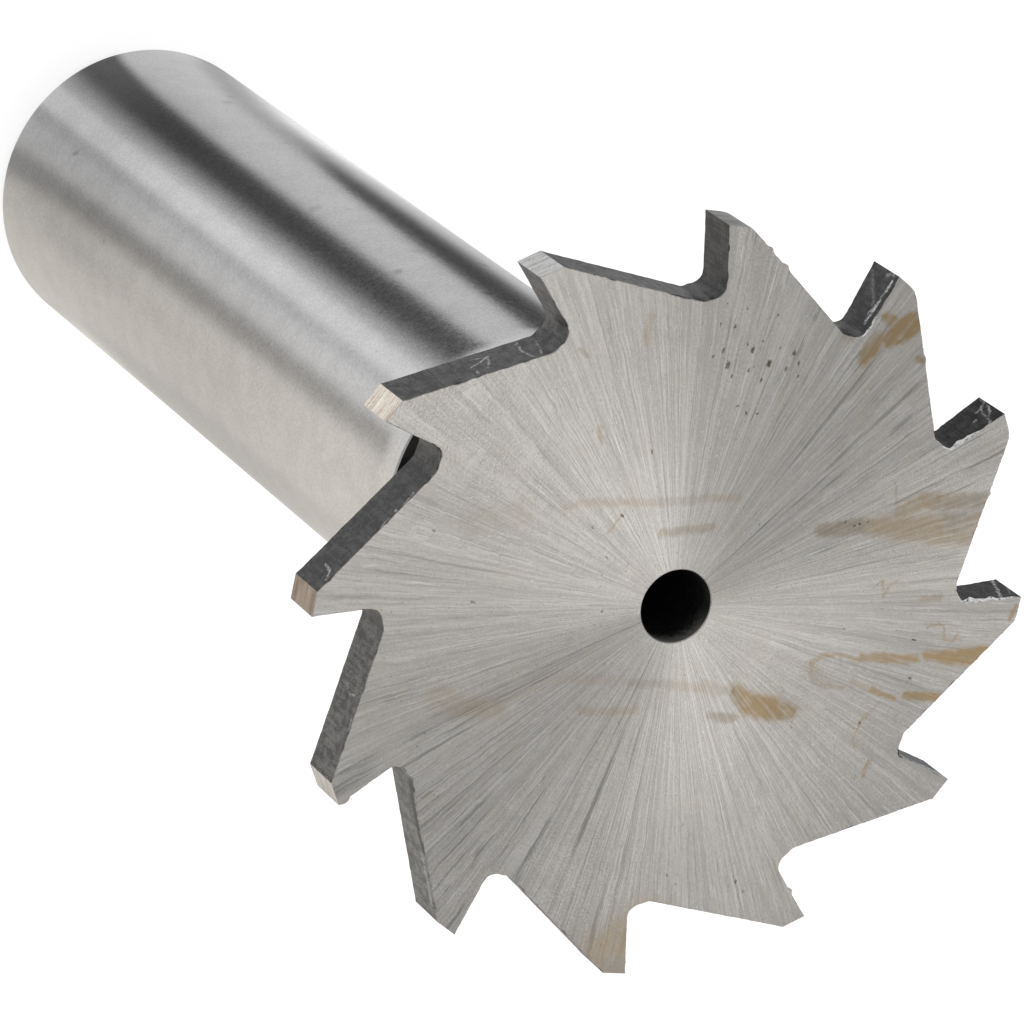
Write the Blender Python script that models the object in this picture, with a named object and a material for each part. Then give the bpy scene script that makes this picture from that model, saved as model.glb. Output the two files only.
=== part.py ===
"""A woodruff keyseat cutter, ground from one bar of high-speed steel.

A thin head with straight teeth sits on a neck and a plain straight shank.
The cutter stands on the end of its shank: the axis is Z, and z = 0 is that end.
Lengths are in metres, and one tooth's cutting edge lies on +X.
"""

import math

import bmesh
import bpy

# Overall sizes
OVERALL_LENGTH = 0.053975  # 2 1/8 inch
HEAD_DIAMETER = 0.028575  # 1 1/8 inch, over the cutting edges
HEAD_WIDTH = 0.001984  # 5/64 inch, at the cutting edges
SHANK_DIAMETER = 0.0127  # 1/2 inch

# Teeth, straight across the head and cutting clockwise seen from the shank
TOOTH_COUNT = 12
TOOTH_DEPTH = 0.00282
GULLET_RADIUS = 0.0007
LAND_WIDTH = 0.00094
RAKE_ANGLE = math.radians(6.0)
LAND_RELIEF_ANGLE = math.radians(5.0)

# Both faces of the head are ground hollow, so that only the teeth touch the slot
FACE_HOLLOW_ANGLE = math.radians(0.15)

# Neck between the head and the shank
NECK_DIAMETER = 0.00873  # 11/32 inch
NECK_LENGTH = 0.0097
NECK_FILLET = 0.0012
SHOULDER_CHAMFER = 0.00015
# Most that one chamfer may take of the step beside the neck, and one fillet of the neck's length
LARGEST_SHARE = 1 / 3

# Drilled hole in the front face
FRONT_HOLE_DIAMETER = 0.00278  # 7/64 inch
FRONT_HOLE_DEPTH = 0.0055
DRILL_POINT_ANGLE = math.radians(118.0)

# Shank end
END_CHAMFER = 0.0004
CENTRE_MOUTH_DIAMETER = 0.0030
CENTRE_ANGLE = math.radians(60.0)
CENTRE_PILOT_DIAMETER = 0.0012
CENTRE_PILOT_DEPTH = 0.0016

# Facets
FACETS_PER_TOOTH = 8
FILLET_FACETS = 5
GULLET_FACETS = 9
SHARP_ANGLE = math.radians(25.0)
MERGE_DISTANCE = 0.000001

# The blank is turned a little too large, and the tooth form cuts it to size
GRIND_ALLOWANCE = 0.0004

STEEL_COLOUR = (0.56, 0.55, 0.53, 1.0)
STEEL_ROUGHNESS = 0.32

HEAD_RADIUS = HEAD_DIAMETER / 2
SHANK_RADIUS = SHANK_DIAMETER / 2
NECK_RADIUS = NECK_DIAMETER / 2
FACETS = TOOTH_COUNT * FACETS_PER_TOOTH


def clear_scene():
    for thing in list(bpy.data.objects):
        bpy.data.objects.remove(thing, do_unlink=True)


def arc(centre, radius, start, end, steps):
    """Points on an arc in a plane, both ends included, for angles in radians."""
    points = []
    for i in range(steps + 1):
        angle = start + (end - start) * i / steps
        points.append((centre[0] + radius * math.cos(angle), centre[1] + radius * math.sin(angle)))
    return points


def hollow(radius):
    """How far a hollow-ground face lies below its rim at this radius."""
    return (HEAD_RADIUS - radius) * math.tan(FACE_HOLLOW_ANGLE)


def blank_profile():
    """(radius, height) points from the bottom of the front hole, over the head and down to the shank end."""
    hole = FRONT_HOLE_DIAMETER / 2
    hole_mouth = OVERALL_LENGTH - hollow(hole)
    hole_floor = hole_mouth - FRONT_HOLE_DEPTH
    points = [(0.0, hole_floor - hole / math.tan(DRILL_POINT_ANGLE / 2)), (hole, hole_floor), (hole, hole_mouth)]

    rim = HEAD_RADIUS + GRIND_ALLOWANCE
    head_back = OVERALL_LENGTH - HEAD_WIDTH
    points.append((rim, OVERALL_LENGTH - hollow(rim)))
    points.append((rim, head_back + hollow(rim)))

    step = SHANK_RADIUS - NECK_RADIUS
    chamfer = min(SHOULDER_CHAMFER, step * LARGEST_SHARE)
    fillet = min(NECK_FILLET, step - 2 * chamfer, NECK_LENGTH * LARGEST_SHARE)
    shoulder = head_back - NECK_LENGTH
    # The upper fillet starts where it touches the hollow back face, and ends along the neck.
    centre_radius = NECK_RADIUS + fillet
    touch_radius = centre_radius + fillet * math.sin(FACE_HOLLOW_ANGLE)
    touch_height = head_back + hollow(touch_radius)
    upper_centre = (centre_radius, touch_height - fillet * math.cos(FACE_HOLLOW_ANGLE))
    points += arc(upper_centre, fillet, math.pi / 2 - FACE_HOLLOW_ANGLE, math.pi, FILLET_FACETS)
    points += arc((centre_radius, shoulder + fillet), fillet, math.pi, 1.5 * math.pi, FILLET_FACETS)
    points.append((SHANK_RADIUS - chamfer, shoulder))
    points.append((SHANK_RADIUS, shoulder - chamfer))

    pilot = CENTRE_PILOT_DIAMETER / 2
    mouth = CENTRE_MOUTH_DIAMETER / 2
    cone_top = (mouth - pilot) / math.tan(CENTRE_ANGLE / 2)
    pilot_top = cone_top + CENTRE_PILOT_DEPTH
    points.append((SHANK_RADIUS, END_CHAMFER))
    points.append((SHANK_RADIUS - END_CHAMFER, 0.0))
    points.append((mouth, 0.0))
    points.append((pilot, cone_top))
    points.append((pilot, pilot_top))
    points.append((0.0, pilot_top + pilot / math.tan(DRILL_POINT_ANGLE / 2)))
    return points


def tooth_outline():
    """The outline from the cutting edge on +X, round the gullet before it, to the land of the tooth after.

    The points go round counterclockwise seen from the front, which is the way the cutter turns.
    The cutting edge of the tooth after is left out, because that tooth's own outline starts with it.
    """
    pitch = 2 * math.pi / TOOTH_COUNT
    edge = (HEAD_RADIUS, 0.0)

    # The gullet arc touches the root circle and the rake face, which leans back under the edge.
    centre_distance = HEAD_RADIUS - TOOTH_DEPTH + GULLET_RADIUS
    beside = GULLET_RADIUS - HEAD_RADIUS * math.sin(RAKE_ANGLE)
    centre_angle = RAKE_ANGLE + math.asin(beside / centre_distance)
    centre = (centre_distance * math.cos(centre_angle), centre_distance * math.sin(centre_angle))

    # The land falls away behind the edge by its relief angle.
    land_drop = LAND_WIDTH * math.sin(LAND_RELIEF_ANGLE)
    land_run = LAND_WIDTH * math.cos(LAND_RELIEF_ANGLE)
    land_end = turned([(HEAD_RADIUS - land_drop, -land_run)], pitch)[0]

    # The back of the tooth after is the straight line from its land that touches the gullet arc.
    across = centre[0] - land_end[0]
    along = centre[1] - land_end[1]
    back_heading = math.atan2(along, across) - math.asin(GULLET_RADIUS / math.hypot(across, along))
    arc_start = RAKE_ANGLE - math.pi / 2
    arc_end = back_heading - math.pi / 2
    turn = (arc_start - arc_end) % (2 * math.pi)
    gullet = arc(centre, GULLET_RADIUS, arc_start, arc_start - turn, GULLET_FACETS)
    return [edge] + gullet + [land_end]


def turned(points, angle):
    """The points turned about the axis."""
    cosine, sine = math.cos(angle), math.sin(angle)
    return [(x * cosine - y * sine, x * sine + y * cosine) for x, y in points]


def add_object(name, mesh):
    thing = bpy.data.objects.new(name, mesh)
    bpy.context.scene.collection.objects.link(thing)
    return thing


def make_blank(name):
    """The turned blank: its profile swept round the axis."""
    mesh = bpy.data.meshes.new(name)
    points = [(radius, 0.0, height) for radius, height in blank_profile()]
    mesh.from_pydata(points, [(i, i + 1) for i in range(len(points) - 1)], [])
    blank = add_object(name, mesh)
    sweep = blank.modifiers.new("sweep", "SCREW")
    sweep.axis = "Z"
    sweep.steps = FACETS
    sweep.render_steps = FACETS
    sweep.use_merge_vertices = True
    sweep.merge_threshold = MERGE_DISTANCE
    return blank


def make_tooth_form(name):
    """A prism with the toothed outline, longer than the cutter. What lies outside it is ground away."""
    outline = []
    for i in range(TOOTH_COUNT):
        outline += turned(tooth_outline(), 2 * math.pi * i / TOOTH_COUNT)
    shape = bmesh.new()
    base = shape.faces.new([shape.verts.new((x, y, -GRIND_ALLOWANCE)) for x, y in outline])
    height = OVERALL_LENGTH + 2 * GRIND_ALLOWANCE
    extruded = bmesh.ops.extrude_face_region(shape, geom=[base], use_keep_orig=True)["geom"]
    top = [item for item in extruded if isinstance(item, bmesh.types.BMVert)]
    bmesh.ops.translate(shape, verts=top, vec=(0.0, 0.0, height))
    bmesh.ops.recalc_face_normals(shape, faces=shape.faces)
    mesh = bpy.data.meshes.new(name)
    shape.to_mesh(mesh)
    shape.free()
    form = add_object(name, mesh)
    form.hide_render = True
    form.display_type = "WIRE"
    return form


def cut_teeth(blank, form):
    cut = blank.modifiers.new("teeth", "BOOLEAN")
    cut.operation = "INTERSECT"
    cut.solver = "EXACT"
    cut.object = form


def keep_result(thing):
    """Replaces the object's mesh by what its modifiers make of it."""
    graph = bpy.context.evaluated_depsgraph_get()
    mesh = bpy.data.meshes.new_from_object(thing.evaluated_get(graph))
    mesh.name = thing.name
    thing.modifiers.clear()
    thing.data = mesh
    mesh.shade_smooth()
    mesh.set_sharp_from_angle(angle=SHARP_ANGLE)


def steel():
    material = bpy.data.materials.new("steel")
    material.use_nodes = True
    shader = material.node_tree.nodes["Principled BSDF"]
    shader.inputs["Base Color"].default_value = STEEL_COLOUR
    shader.inputs["Metallic"].default_value = 1.0
    shader.inputs["Roughness"].default_value = STEEL_ROUGHNESS
    return material


def main():
    clear_scene()
    cutter = make_blank("keyseat_cutter")
    form = make_tooth_form("tooth_form")
    cut_teeth(cutter, form)
    keep_result(cutter)
    cutter.data.materials.append(steel())


main()
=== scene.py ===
"""The looks of a woodruff keyseat cutter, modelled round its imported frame.

Lengths are in metres. The cutter stands on its shank, with its axis on Z and its toothed head on top.
Angles about the axis are counterclockwise seen from above, and a tooth's cutting edge lies on +X.
"""

import math

import bmesh
import bpy
from mathutils import Matrix, Quaternion, Vector, noise


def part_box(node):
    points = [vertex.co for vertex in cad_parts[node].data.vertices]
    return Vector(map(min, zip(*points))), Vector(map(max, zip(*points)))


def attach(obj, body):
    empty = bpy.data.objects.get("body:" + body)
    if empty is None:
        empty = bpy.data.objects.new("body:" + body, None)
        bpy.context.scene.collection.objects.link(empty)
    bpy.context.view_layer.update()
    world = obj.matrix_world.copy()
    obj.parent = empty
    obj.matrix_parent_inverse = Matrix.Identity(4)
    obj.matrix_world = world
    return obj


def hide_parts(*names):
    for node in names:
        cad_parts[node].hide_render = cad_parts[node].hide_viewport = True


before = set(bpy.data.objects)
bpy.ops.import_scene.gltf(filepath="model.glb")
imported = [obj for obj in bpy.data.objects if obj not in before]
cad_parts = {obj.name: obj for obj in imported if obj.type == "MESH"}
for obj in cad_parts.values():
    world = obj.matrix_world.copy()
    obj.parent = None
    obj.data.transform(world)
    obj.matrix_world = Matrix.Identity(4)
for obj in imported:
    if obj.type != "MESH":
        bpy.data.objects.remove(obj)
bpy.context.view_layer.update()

MM = 0.001
NODE = "keyseat_cutter"

# Sizes that come from the frame
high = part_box(NODE)[1]
HEAD_RADIUS = high.x
LENGTH = high.z

# Sizes of the cutter
HEAD_WIDTH = 1.984 * MM
SHANK_RADIUS = 6.35 * MM
TOOTH_COUNT = 12
TOOTH_DEPTH = 2.82 * MM
GULLET_RADIUS = 0.70 * MM
LAND_WIDTH = 0.94 * MM
RAKE_ANGLE = math.radians(6.0)
LAND_RELIEF_ANGLE = math.radians(5.0)
FACE_HOLLOW_ANGLE = math.radians(0.15)
NECK_RADIUS = 4.365 * MM
NECK_LENGTH = 9.7 * MM
NECK_FILLET = 1.2 * MM
SHOULDER_CHAMFER = 0.08 * MM
HOLE_RADIUS = 1.39 * MM
HOLE_DEPTH = 5.5 * MM
HOLE_RIM = 0.035 * MM
DRILL_POINT_ANGLE = math.radians(118.0)
END_ROUNDING = 0.42 * MM
CENTRE_MOUTH_RADIUS = 1.5 * MM
CENTRE_ANGLE = math.radians(60.0)
PILOT_RADIUS = 0.6 * MM
PILOT_DEPTH = 1.6 * MM

# Fineness of the mesh
OUTLINE_STEP = 0.065 * MM
WALL_LAYERS = 20
# Above 1, the layers of the tooth walls are closer together near the front
WALL_LAYER_GROWTH = 1.4
RING_STEPS = 240
HOLE_LAYERS = 12
FILLET_STEPS = 8
SHANK_LAYERS = 24
END_STEPS = 6
FACE_RINGS = (9.5, 7.8, 6.1, 4.6, 3.3, 2.3)
ROOT_RING = 11.1 * MM

PITCH = 2 * math.pi / TOOTH_COUNT

# Names of the materials that no tooth has to itself
BACK_FACE, BURR, LAND, SHANK, NECK, HOLE = "back_face", "burr", "land", "shank", "neck", "hole"


def polar(radius, angle):
    return Vector((radius * math.cos(angle), radius * math.sin(angle)))


def direction(angle):
    """A unit vector across the axis, at this angle about it."""
    return (math.cos(angle), math.sin(angle), 0.0)


def hollow(radius):
    """How far a hollow-ground face lies below its rim at this radius."""
    return max(0.0, HEAD_RADIUS - radius) * math.tan(FACE_HOLLOW_ANGLE)


def along_line(start, end):
    """Points from start up to, and not including, end."""
    count = max(2, round((end - start).length / OUTLINE_STEP))
    return [start.lerp(end, i / count) for i in range(count)]


def tooth_corners():
    """The gullet's centre and the ends of its arc, and the land's end, for the tooth on +X."""
    centre_distance = HEAD_RADIUS - TOOTH_DEPTH + GULLET_RADIUS
    beside = GULLET_RADIUS - HEAD_RADIUS * math.sin(RAKE_ANGLE)
    centre = polar(centre_distance, RAKE_ANGLE + math.asin(beside / centre_distance))
    drop = LAND_WIDTH * math.sin(LAND_RELIEF_ANGLE)
    land_end = Vector((HEAD_RADIUS - drop, -LAND_WIDTH * math.cos(LAND_RELIEF_ANGLE)))
    land_end.rotate(Matrix.Rotation(PITCH, 2))
    to_centre = centre - land_end
    heading = math.atan2(to_centre.y, to_centre.x) - math.asin(GULLET_RADIUS / to_centre.length)
    return centre, RAKE_ANGLE - math.pi / 2, heading - math.pi / 2, land_end


# Swells of the gullet's radius: place from its rake face (0) to its back (1), half width and height
GULLET_SWELLS = ((0.28, 0.13, 0.035 * MM), (0.73, 0.17, -0.070 * MM))


def gullet_radius(share):
    """The gullet's radius at a share of its arc. It is flatter beside the back."""
    swells = [height * math.exp(-((share - place) / width) ** 2) for place, width, height in GULLET_SWELLS]
    return GULLET_RADIUS + sum(swells)


# How far use has rounded off the corner behind the land, for each tooth worn there, and how far round it
WORN_CORNERS = {4: 0.040 * MM, 5: 0.075 * MM, 6: 0.060 * MM, 7: 0.040 * MM}
WORN_LENGTH = 0.42 * MM
# Steps of the outline over which waves, burrs and chips die away towards a corner
CORNER_STEPS = 4


class Outline:
    """The toothed outline, counterclockwise.

    Each point has its place, outward normal, kind and tooth, and its distance along its rake face or back
    from the outer end of that stretch. Tooth 0 is the one on +X.
    """

    def __init__(self):
        self.points = []
        self.kinds = []
        self.teeth = []
        self.along = []
        self.corner = []
        for tooth in range(TOOTH_COUNT):
            self.add_tooth(tooth)
        ahead = self.points[1:] + self.points[:1]
        behind = self.points[-1:] + self.points[:-1]
        self.normals = []
        for before, after in zip(behind, ahead):
            way = (after - before).normalized()
            self.normals.append(Vector((way.y, -way.x)))
        self.settled = self.clearances()

    def worn(self, kind, tooth, point, land_end):
        """The point, moved in where use has rounded the corner behind a tooth's land."""
        depth = WORN_CORNERS.get((tooth + 1) % TOOTH_COUNT, 0.0) if kind in ("back", "land") else 0.0
        near = max(0.0, 1 - (point - land_end).length / WORN_LENGTH)
        return point - point.normalized() * depth * near * near

    def add_tooth(self, tooth):
        """The rake face of one tooth, the gullet before it, and the back and land of the tooth after."""
        centre, arc_start, arc_end, land_end = tooth_corners()
        edge = Vector((HEAD_RADIUS, 0.0))
        turn = (arc_start - arc_end) % (2 * math.pi)
        steps = round(turn * GULLET_RADIUS / OUTLINE_STEP)
        arc = []
        for i in range(steps + 1):
            arc.append(centre + polar(gullet_radius(i / steps), arc_start - turn * i / steps))
        stretches = [
            ("rake", edge, along_line(edge, arc[0])),
            ("gullet", arc[0], arc[:-1]),
            ("back", land_end, along_line(arc[-1], land_end)),
            ("land", land_end, along_line(land_end, polar(HEAD_RADIUS, PITCH))),
        ]
        turned = Matrix.Rotation(PITCH * tooth, 2)
        for kind, outer, points in stretches:
            for i, point in enumerate(points):
                self.points.append(turned @ self.worn(kind, tooth, point, land_end))
                self.kinds.append(kind)
                self.teeth.append(tooth if kind in ("rake", "gullet") else (tooth + 1) % TOOTH_COUNT)
                self.along.append((point - outer).length)
                worn_away = kind == "land" and self.teeth[-1] in WORN_CORNERS
                self.corner.append(i == 0 and kind in ("rake", "land") and not worn_away)

    def clearances(self):
        """How clear of the corners each point is, from 0 on a corner to 1 a few steps away."""
        count = len(self.points)
        found = []
        for i in range(count):
            near = [abs(k) for k in range(-CORNER_STEPS, CORNER_STEPS + 1) if self.corner[(i + k) % count]]
            found.append(min(near, default=CORNER_STEPS) / CORNER_STEPS)
        return found


def roughness_at(point, scale, seed):
    """Smooth noise from -1 to 1 at a point."""
    x, y, z = point
    return noise.noise(Vector((x / scale + seed, y / scale - seed, z / scale + 3.7 * seed)))


WALL_GRAIN = 0.30 * MM
WALL_WAVE = 0.010 * MM
EDGE_BREAK = 0.020 * MM
EDGE_GRAIN = 0.16 * MM
BURR_GRAIN = 0.085 * MM
BURR_HEIGHT = 0.13 * MM
CHIP_GRAIN = 0.33 * MM
CHIP_DEPTH = 0.10 * MM
# Share of the full burr height that a tooth's back has left, for the teeth with more than the rest
BURRED_BACKS = {5: 1.0, 4: 0.6, 7: 0.55, 6: 0.5}
BURR_SHARE = 0.22
# Lumps left on the front edge: kind, tooth, place along it, half length and height
LUMPS = (
    ("rake", 11, 0.28 * MM, 0.24 * MM, 0.12 * MM),
    ("rake", 2, 1.27 * MM, 0.13 * MM, 0.09 * MM),
    ("back", 5, 2.30 * MM, 0.12 * MM, 0.06 * MM),
    ("back", 7, 1.20 * MM, 0.12 * MM, 0.08 * MM),
    ("back", 7, 2.15 * MM, 0.16 * MM, 0.09 * MM),
    ("back", 6, 2.70 * MM, 0.20 * MM, 0.05 * MM),
)
LUMP_DEPTH = 0.45 * MM
# Heights of the lips that grinding folded out over some teeth: by the edge, halfway down, and in the gullet
LIPS = {
    4: (0.05 * MM, 0.12 * MM, 0.21 * MM),
    5: (0.0, 0.035 * MM, 0.20 * MM),
    6: (0.0, 0.01 * MM, 0.08 * MM),
}
# How far round the gullet a lip runs out, in gullet radii
LIP_RUN = 1.6
LIP_GRAIN = 0.30 * MM
LIP_DROP = 0.40
# Share of a lip's height that is torn bright
TORN_SHARE = 0.50
RAKE_LENGTH = 2.07 * MM
# Lips higher than this show as a bright line
LIP_SEEN = 0.045 * MM


def lump_height(outline, i, depth):
    """How far lumps stand out at a point of the outline, this deep below the front face."""
    total = 0.0
    for kind, tooth, place, half_length, height in LUMPS:
        if outline.kinds[i] == kind and outline.teeth[i] == tooth:
            beside = abs(outline.along[i] - place) / half_length
            below = depth / LUMP_DEPTH
            total += height * max(0.0, 1 - beside * beside) * max(0.0, 1 - below * below)
    return total


def lip_height(outline, i):
    """How far a folded lip stands out over the wall at a point of the outline."""
    kind, tooth = outline.kinds[i], outline.teeth[i]
    if tooth not in LIPS or kind not in ("rake", "gullet"):
        return 0.0
    outer, middle, inner = LIPS[tooth]
    if kind == "rake":
        share = outline.along[i] / RAKE_LENGTH
        height = outer + (middle - outer) * min(1.0, 2 * share) + (inner - middle) * max(0.0, 2 * share - 1)
        height *= min(1.0, share * 6)
    else:
        height = inner * max(0.0, 1 - outline.along[i] / (LIP_RUN * GULLET_RADIUS))
    base = outline.points[i]
    return height * (0.85 + 0.45 * roughness_at((base.x, base.y, 0.0), LIP_GRAIN, 14.0))


def front_edge_offset(outline, i):
    """How far burrs bring the front edge out of the wall. This is negative where it is chipped."""
    base = outline.points[i]
    if outline.kinds[i] == "land" or outline.corner[i]:
        return 0.0
    share = BURRED_BACKS.get(outline.teeth[i], BURR_SHARE) if outline.kinds[i] == "back" else BURR_SHARE
    burr = max(0.0, roughness_at((base.x, base.y, 0.0), BURR_GRAIN, 8.0) - 0.22)
    chip = max(0.0, roughness_at((base.x, base.y, 0.0), CHIP_GRAIN, 11.0) - 0.12)
    return outline.settled[i] * (BURR_HEIGHT * share * burr - CHIP_DEPTH * chip) + lip_height(outline, i)


def wall_place(outline, i, depth_share):
    """The base point, the offset along its normal and the height, this share of the width below the front."""
    base = outline.points[i]
    radius = base.length
    front = LENGTH - hollow(radius)
    back = LENGTH - HEAD_WIDTH + hollow(radius)
    height = front + (back - front) * depth_share
    if outline.kinds[i] == "land":
        return base, 0.0, height
    wave = roughness_at((base.x, base.y, height * 0.4), WALL_GRAIN, 2.0)
    return base, lump_height(outline, i, front - height) - WALL_WAVE * outline.settled[i] * (1 + wave), height


def edge_break(outline, i, height):
    """How much is broken off the edge between a wall and a face."""
    base = outline.points[i]
    if outline.kinds[i] == "land" or outline.corner[i]:
        return EDGE_BREAK * 0.5
    ragged = roughness_at((base.x, base.y, height), EDGE_GRAIN, 5.0)
    return EDGE_BREAK * (1.0 + 0.75 * ragged) + TORN_SHARE * lip_height(outline, i) * (1.0 + 0.5 * ragged)


class Builder:
    """Collects the cutter's points and faces."""

    def __init__(self):
        self.points = []
        self.faces = []
        self.materials = []
        self.sharp = set()

    def ring(self, points):
        start = len(self.points)
        self.points += points
        return list(range(start, len(self.points)))

    def bridge(self, upper, lower, material):
        """Quads between two rings of as many points. The faces point out where upper is above lower."""
        count = len(upper)
        for i in range(count):
            j = (i + 1) % count
            self.faces.append((upper[i], lower[i], lower[j], upper[j]))
            self.materials.append(material(i) if callable(material) else material)

    def cap(self, ring, tip, material, upward):
        centre = self.ring([tip])[0]
        count = len(ring)
        for i in range(count):
            j = (i + 1) % count
            face = (ring[i], ring[j], centre) if upward else (ring[j], ring[i], centre)
            self.faces.append(face)
            self.materials.append(material)

    def crease(self, ring):
        """Marks the edges of a closed ring as sharp."""
        for a, b in zip(ring, ring[1:] + ring[:1]):
            self.sharp.add((min(a, b), max(a, b)))

    def circle(self, radius, height):
        return self.ring([(*polar(radius, 2 * math.pi * i / RING_STEPS), height) for i in range(RING_STEPS)])


def face_polygons(builder, outline, rim, ring, upward):
    """One polygon for each tooth, between the rim of a face and the ring inside the gullets."""
    lowest = []
    count = len(rim)
    for tooth in range(TOOTH_COUNT):
        members = [i for i in range(count) if outline.kinds[i] == "gullet" and outline.teeth[i] == tooth]
        lowest.append(min(members, key=lambda i: outline.points[i].length))
    stations = []
    for i in lowest:
        angle = math.atan2(outline.points[i].y, outline.points[i].x) % (2 * math.pi)
        stations.append(round(angle / (2 * math.pi) * RING_STEPS) % RING_STEPS)
    for tooth in range(TOOTH_COUNT):
        after = (tooth + 1) % TOOTH_COUNT
        outer = [rim[(lowest[tooth] + k) % count] for k in range((lowest[after] - lowest[tooth]) % count + 1)]
        span = (stations[after] - stations[tooth]) % RING_STEPS
        inner = [ring[(stations[tooth] + k) % RING_STEPS] for k in range(span, -1, -1)]
        face = outer + inner
        builder.faces.append(tuple(face if upward else face[::-1]))
        builder.materials.append(front_sector(tooth) if upward else BACK_FACE)


def front_sector(tooth):
    """The material of one tooth's sector of the front face, from its gullet to the next."""
    return ("front_face", tooth)


def gullet_angle():
    """The angle of the gullet's centre before the tooth on +X, where that tooth's sector starts."""
    centre = tooth_corners()[0]
    return math.atan2(centre.y, centre.x)


def sector_middle(sector):
    return gullet_angle() + PITCH * (sector + 0.5)


def sector_at(angle):
    return int((angle - gullet_angle()) % (2 * math.pi) / PITCH) % TOOTH_COUNT


def ring_sector(i):
    """The material of the front face beside step i of a ring."""
    return front_sector(sector_at(2 * math.pi * (i + 0.5) / RING_STEPS))


def head_walls(builder, outline):
    """The tooth walls. Gives back the rims that the front and back faces start from."""
    rings = []
    count = len(outline.points)
    lips = [lip_height(outline, i) for i in range(count)]

    def layer(depth_share, inset_share, lift, burr_share=0.0):
        points = []
        for i in range(count):
            base, offset, height = wall_place(outline, i, depth_share)
            broken = edge_break(outline, i, height)
            out = offset - broken * inset_share + front_edge_offset(outline, i) * burr_share
            drop = LIP_DROP * lips[i] * (1 - depth_share) if rings else 0.0
            place = base + outline.normals[i] * out
            points.append((place.x, place.y, height + broken * lift - drop))
        return builder.ring(points)

    rings.append(layer(0.0, 1.0, 0.0, 1.0))
    rings.append(layer(0.0, 0.0, -1.0, 0.9))
    for k in range(1, WALL_LAYERS):
        rings.append(layer((k / WALL_LAYERS) ** WALL_LAYER_GROWTH, 0.0, 0.0, 0.2 if k == 1 else 0.0))
    rings.append(layer(1.0, 0.0, 1.0))
    rings.append(layer(1.0, 1.0, 0.0))

    def wall_material(i):
        return LAND if outline.kinds[i] == "land" else ("wall", outline.teeth[i])

    def edge_material(i):
        if lips[i] > LIP_SEEN:
            return BURR
        return front_sector(sector_at(math.atan2(outline.points[i].y, outline.points[i].x)))

    last = len(rings) - 2
    for k, (upper, lower) in enumerate(zip(rings, rings[1:])):
        builder.bridge(upper, lower, edge_material if k == 0 else BACK_FACE if k == last else wall_material)
    for ring in (rings[0], rings[1], rings[-2], rings[-1]):
        builder.crease(ring)
    for i in range(count):
        if outline.corner[i]:
            for upper, lower in zip(rings, rings[1:]):
                builder.sharp.add((min(upper[i], lower[i]), max(upper[i], lower[i])))
    return rings[0], rings[-1]


def front_face(builder, outline, rim):
    """The front face with its drilled hole."""
    root = builder.circle(ROOT_RING, LENGTH - hollow(ROOT_RING))
    face_polygons(builder, outline, rim, root, upward=True)
    outer = root
    for radius in [r * MM for r in FACE_RINGS] + [HOLE_RADIUS + HOLE_RIM]:
        inner = builder.circle(radius, LENGTH - hollow(radius))
        builder.bridge(inner, outer, ring_sector)
        outer = inner
    builder.crease(outer)
    mouth = LENGTH - hollow(HOLE_RADIUS)
    wall = builder.circle(HOLE_RADIUS, mouth - HOLE_RIM)
    builder.bridge(wall, outer, ring_sector)
    builder.crease(wall)
    floor_height = mouth - HOLE_DEPTH
    outer = wall
    for k in range(1, HOLE_LAYERS + 1):
        depth = (mouth - HOLE_RIM - floor_height) * k / HOLE_LAYERS
        inner = builder.circle(HOLE_RADIUS, mouth - HOLE_RIM - depth)
        builder.bridge(inner, outer, HOLE)
        outer = inner
    builder.crease(outer)
    tip = (0.0, 0.0, floor_height - HOLE_RADIUS / math.tan(DRILL_POINT_ANGLE / 2))
    builder.cap(outer, tip, HOLE, upward=True)


def shank_profile():
    """(radius, height, material, sharp) rings from the back face down to the pilot hole in the shank end."""
    head_back = LENGTH - HEAD_WIDTH
    centre_radius = NECK_RADIUS + NECK_FILLET
    shoulder = head_back - NECK_LENGTH
    rows = [(radius * MM, head_back + hollow(radius * MM), BACK_FACE, False) for radius in (9.5, 7.5)]
    touch = head_back + hollow(centre_radius)
    for start, centre_height in ((math.pi / 2, touch - NECK_FILLET), (math.pi, shoulder + NECK_FILLET)):
        for k in range(FILLET_STEPS + 1):
            radius, height = polar(NECK_FILLET, start + math.pi / 2 * k / FILLET_STEPS)
            first = start < math.pi and k == 0
            rows.append((centre_radius + radius, centre_height + height, BACK_FACE if first else NECK, first))
    rows.append((SHANK_RADIUS - SHOULDER_CHAMFER, shoulder, NECK, True))
    rows.append((SHANK_RADIUS - SHOULDER_CHAMFER * 0.25, shoulder - SHOULDER_CHAMFER * 0.45, SHANK, False))
    rows.append((SHANK_RADIUS, shoulder - SHOULDER_CHAMFER * 1.1, SHANK, False))
    top = shoulder - SHOULDER_CHAMFER * 1.1
    bottom = END_ROUNDING * 1.3
    for k in range(1, SHANK_LAYERS):
        rows.append((SHANK_RADIUS, top + (bottom - top) * k / SHANK_LAYERS, SHANK, False))
    for k in range(END_STEPS + 1):
        angle = math.pi / 2 * k / END_STEPS
        rows.append((SHANK_RADIUS - END_ROUNDING * (1 - math.cos(angle)), bottom * (1 - math.sin(angle)),
                     SHANK, False))
    cone_top = (CENTRE_MOUTH_RADIUS - PILOT_RADIUS) / math.tan(CENTRE_ANGLE / 2)
    rows.append(((SHANK_RADIUS + CENTRE_MOUTH_RADIUS) / 2, 0.0, SHANK, False))
    rows.append((CENTRE_MOUTH_RADIUS, 0.0, SHANK, True))
    rows.append((PILOT_RADIUS, cone_top, HOLE, True))
    rows.append((PILOT_RADIUS, cone_top + PILOT_DEPTH, HOLE, True))
    return rows


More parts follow.
